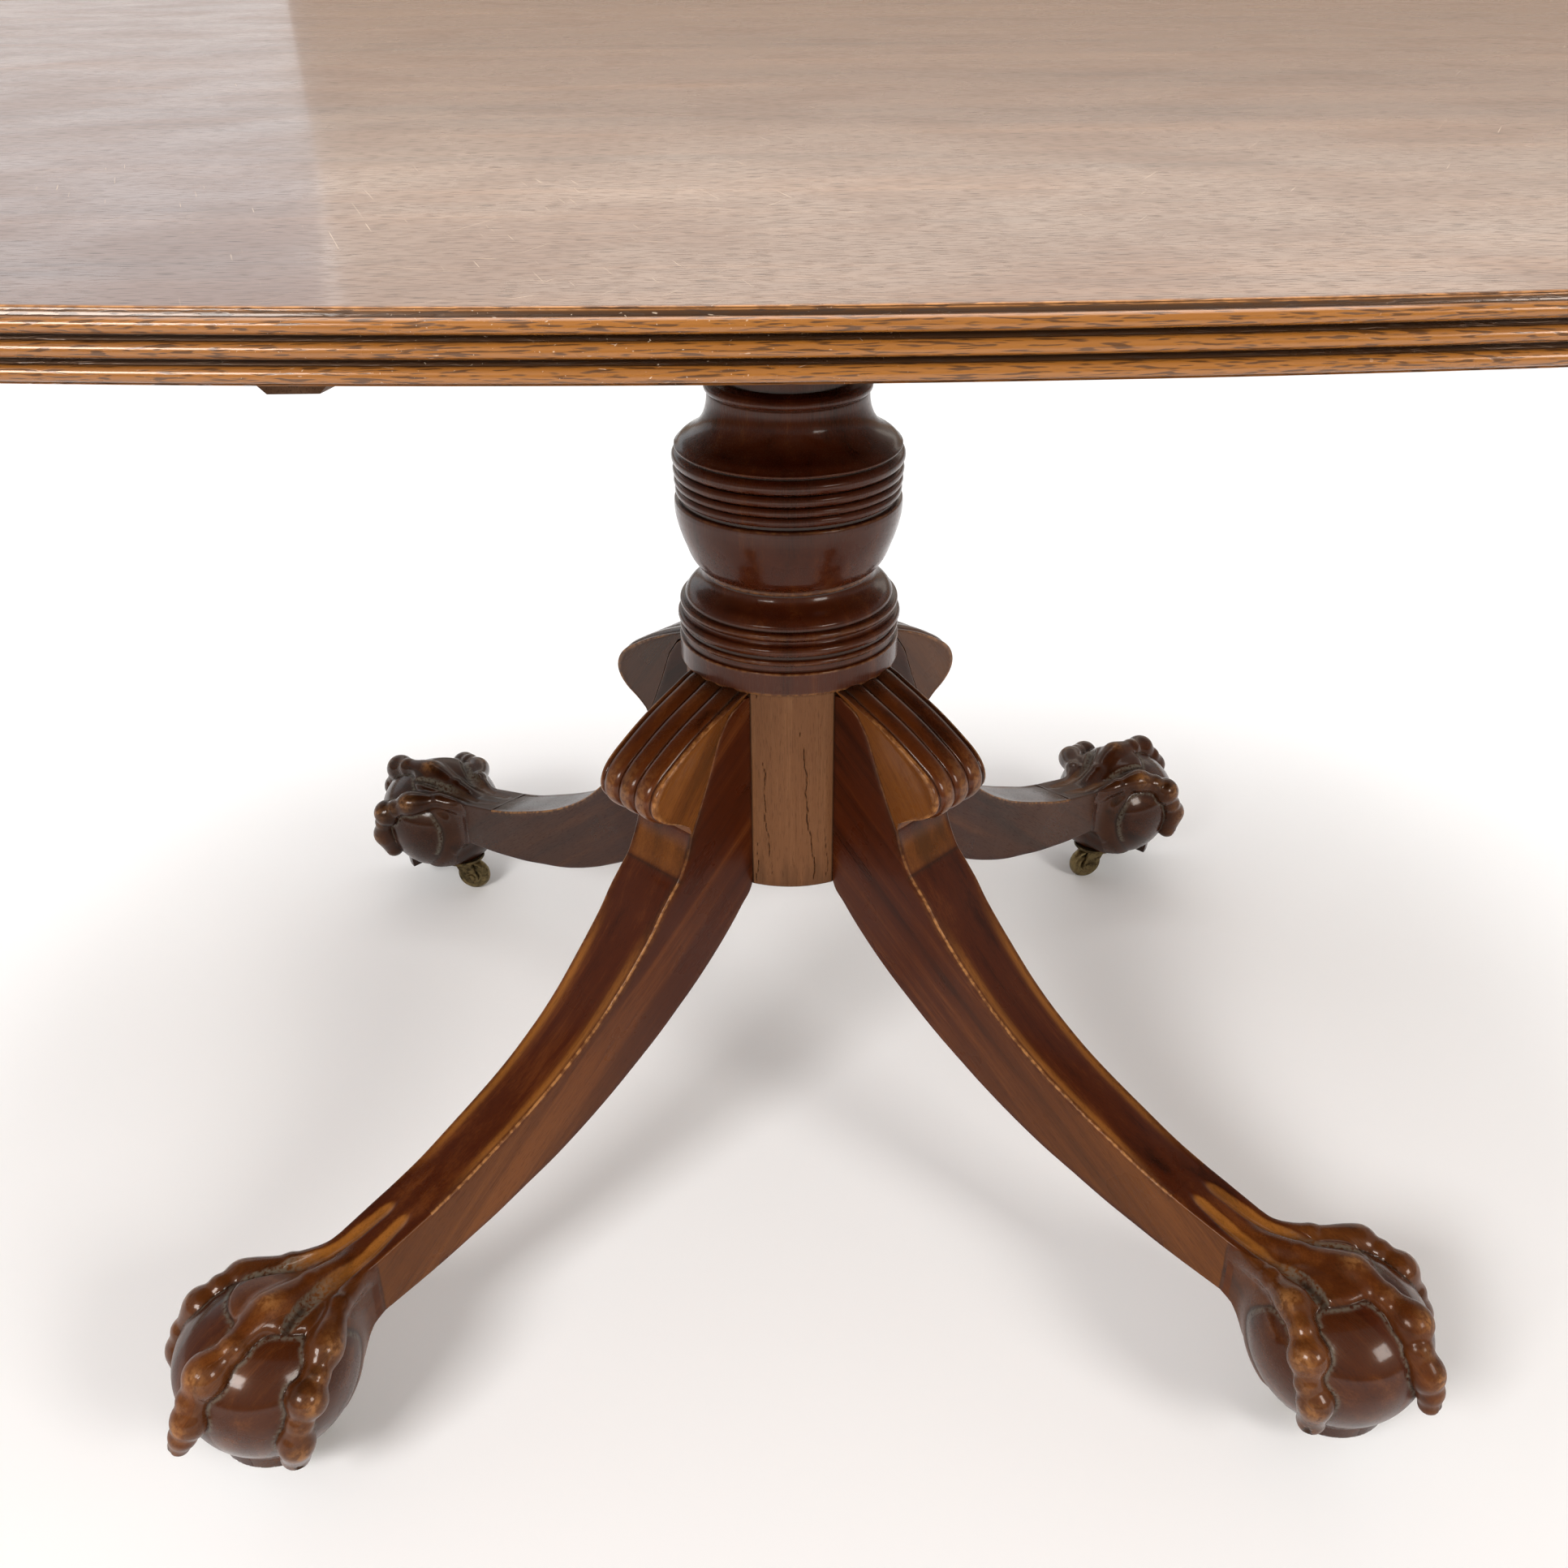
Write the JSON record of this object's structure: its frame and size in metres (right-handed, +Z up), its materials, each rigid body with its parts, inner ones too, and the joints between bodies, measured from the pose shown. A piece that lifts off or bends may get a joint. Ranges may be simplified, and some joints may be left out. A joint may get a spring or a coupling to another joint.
{
  "type": "tilt-top pedestal table",
  "caption": "Tilt-top mahogany pedestal table: soft-cornered reeded-edge top, turned pillar, sabre legs with reeded knees, claw-and-ball feet on brass casters.",
  "frame": {"origin": "on the floor, under the pillar's axis, at the middle of the table's footprint", "axes": "+Z up; the long way of the top lies along X; the side shown in the picture (the tilt pivot's side) faces -Y"},
  "size_m": [1.6, 1.234, 0.759],
  "materials": {
    "mahogany_top": "French-polished mahogany, red-brown, fine dark lateral pores, light scratches, golden-brown reeded edge with dark grooves",
    "mahogany_pillar": "French-polished turned mahogany, deep red-brown, glossy, wax-darkened grooves",
    "faded_mahogany": "faded mahogany, lighter brown, long drying cracks, dark wear at the foot",
    "mahogany_leg": "polished mahogany, red-brown, worn golden streak beside the top arris",
    "mahogany_knee": "polished carved mahogany, orange-brown sides, near-black hollows between the reeds",
    "mahogany_foot": "polished carved mahogany, dark ball, worn orange-brown knuckles, grey-green wax in the quirks",
    "unpolished_wood": "plain oiled hardwood, matt, tool marks",
    "old_brass": "dull tarnished brass, darkened in the corners",
    "brass_wheel": "worn brass, brighter on the tread",
    "brass_fittings": "rubbed brass, satin",
    "black_iron": "forged iron, black, slightly rusty",
    "steel_screws": "aged steel screws"
  },
  "bodies": {
    "base": {"caster_plate_front_left": "old_brass", "caster_plate_front_right": "old_brass", "caster_plate_rear_left": "old_brass", "caster_plate_rear_right": "old_brass", "caster_screws": "steel_screws", "foot_cheek_front_left_left": "mahogany_foot", "foot_cheek_front_left_right": "mahogany_foot", "foot_cheek_front_right_left": "mahogany_foot", "foot_cheek_front_right_right": "mahogany_foot", "foot_cheek_rear_left_left": "mahogany_foot", "foot_cheek_rear_left_right": "mahogany_foot", "foot_cheek_rear_right_left": "mahogany_foot", "foot_cheek_rear_right_right": "mahogany_foot", "knee_block_front_left": "mahogany_knee", "knee_block_front_right": "mahogany_knee", "knee_block_rear_left": "mahogany_knee", "knee_block_rear_right": "mahogany_knee", "leg_block": "faded_mahogany", "leg_front_left": "mahogany_leg", "leg_front_right": "mahogany_leg", "leg_rear_left": "mahogany_leg", "leg_rear_right": "mahogany_leg", "pillar": "mahogany_pillar", "pivot_pin_left": "brass_fittings", "pivot_pin_right": "brass_fittings", "spider_plate": "black_iron", "spider_screws": "steel_screws", "strike_plate": "brass_fittings", "strike_screws": "brass_fittings", "tenon_wedge": "unpolished_wood", "tilt_block": "unpolished_wood"},
    "top": {"bearer_left": "unpolished_wood", "bearer_right": "unpolished_wood", "bearer_screws": "steel_screws", "catch_plate": "brass_fittings", "catch_screws": "brass_fittings", "top_board_1": "mahogany_top", "top_board_2": "mahogany_top", "top_board_3": "mahogany_top", "top_board_4": "mahogany_top"},
    "catch_bolt_body": {"catch_bolt": "brass_fittings"},
    "caster_front_left": {"caster_horn_front_left": "old_brass", "caster_axle_front_left": "old_brass"},
    "wheel_front_left": {"caster_wheel_front_left": "brass_wheel"},
    "caster_front_right": {"caster_horn_front_right": "old_brass", "caster_axle_front_right": "old_brass"},
    "wheel_front_right": {"caster_wheel_front_right": "brass_wheel"},
    "caster_rear_right": {"caster_horn_rear_right": "old_brass", "caster_axle_rear_right": "old_brass"},
    "wheel_rear_right": {"caster_wheel_rear_right": "brass_wheel"},
    "caster_rear_left": {"caster_horn_rear_left": "old_brass", "caster_axle_rear_left": "old_brass"},
    "wheel_rear_left": {"caster_wheel_rear_left": "brass_wheel"}
  },
  "joints": [
    {"name": "top_tilt", "type": "hinge", "parent": "base", "child": "top", "pos_m": [0, -0.128, 0.721], "axis": [1, 0, 0], "range_deg": [0, 90]},
    {"name": "catch_slide", "type": "slide", "parent": "top", "child": "catch_bolt_body", "axis": [0, -1, 0], "range_m": [0, 0.012]},
    {"name": "caster_swivel_front_left", "type": "hinge", "parent": "base", "child": "caster_front_left", "pos_m": [-0.30406, -0.30406, 0.0343], "axis": [0, 0, 1], "continuous": true},
    {"name": "wheel_spin_front_left", "type": "hinge", "parent": "caster_front_left", "child": "wheel_front_left", "pos_m": [-0.30713, -0.31251, 0.0155], "axis": [0.9397, -0.342, 0], "continuous": true},
    {"name": "caster_swivel_front_right", "type": "hinge", "parent": "base", "child": "caster_front_right", "pos_m": [0.30406, -0.30406, 0.0343], "axis": [0, 0, 1], "continuous": true},
    {"name": "wheel_spin_front_right", "type": "hinge", "parent": "caster_front_right", "child": "wheel_front_right", "pos_m": [0.30713, -0.31251, 0.0155], "axis": [0.9397, 0.342, 0], "continuous": true},
    {"name": "caster_swivel_rear_right", "type": "hinge", "parent": "base", "child": "caster_rear_right", "pos_m": [0.30406, 0.30406, 0.0343], "axis": [0, 0, 1], "continuous": true},
    {"name": "wheel_spin_rear_right", "type": "hinge", "parent": "caster_rear_right", "child": "wheel_rear_right", "pos_m": [0.29536, 0.30173, 0.0155], "axis": [0.2588, -0.9659, 0], "continuous": true},
    {"name": "caster_swivel_rear_left", "type": "hinge", "parent": "base", "child": "caster_rear_left", "pos_m": [-0.30406, 0.30406, 0.0343], "axis": [0, 0, 1], "continuous": true},
    {"name": "wheel_spin_rear_left", "type": "hinge", "parent": "caster_rear_left", "child": "wheel_rear_left", "pos_m": [-0.29519, 0.30249, 0.0155], "axis": [0.1736, 0.9848, 0], "continuous": true}
  ]
}
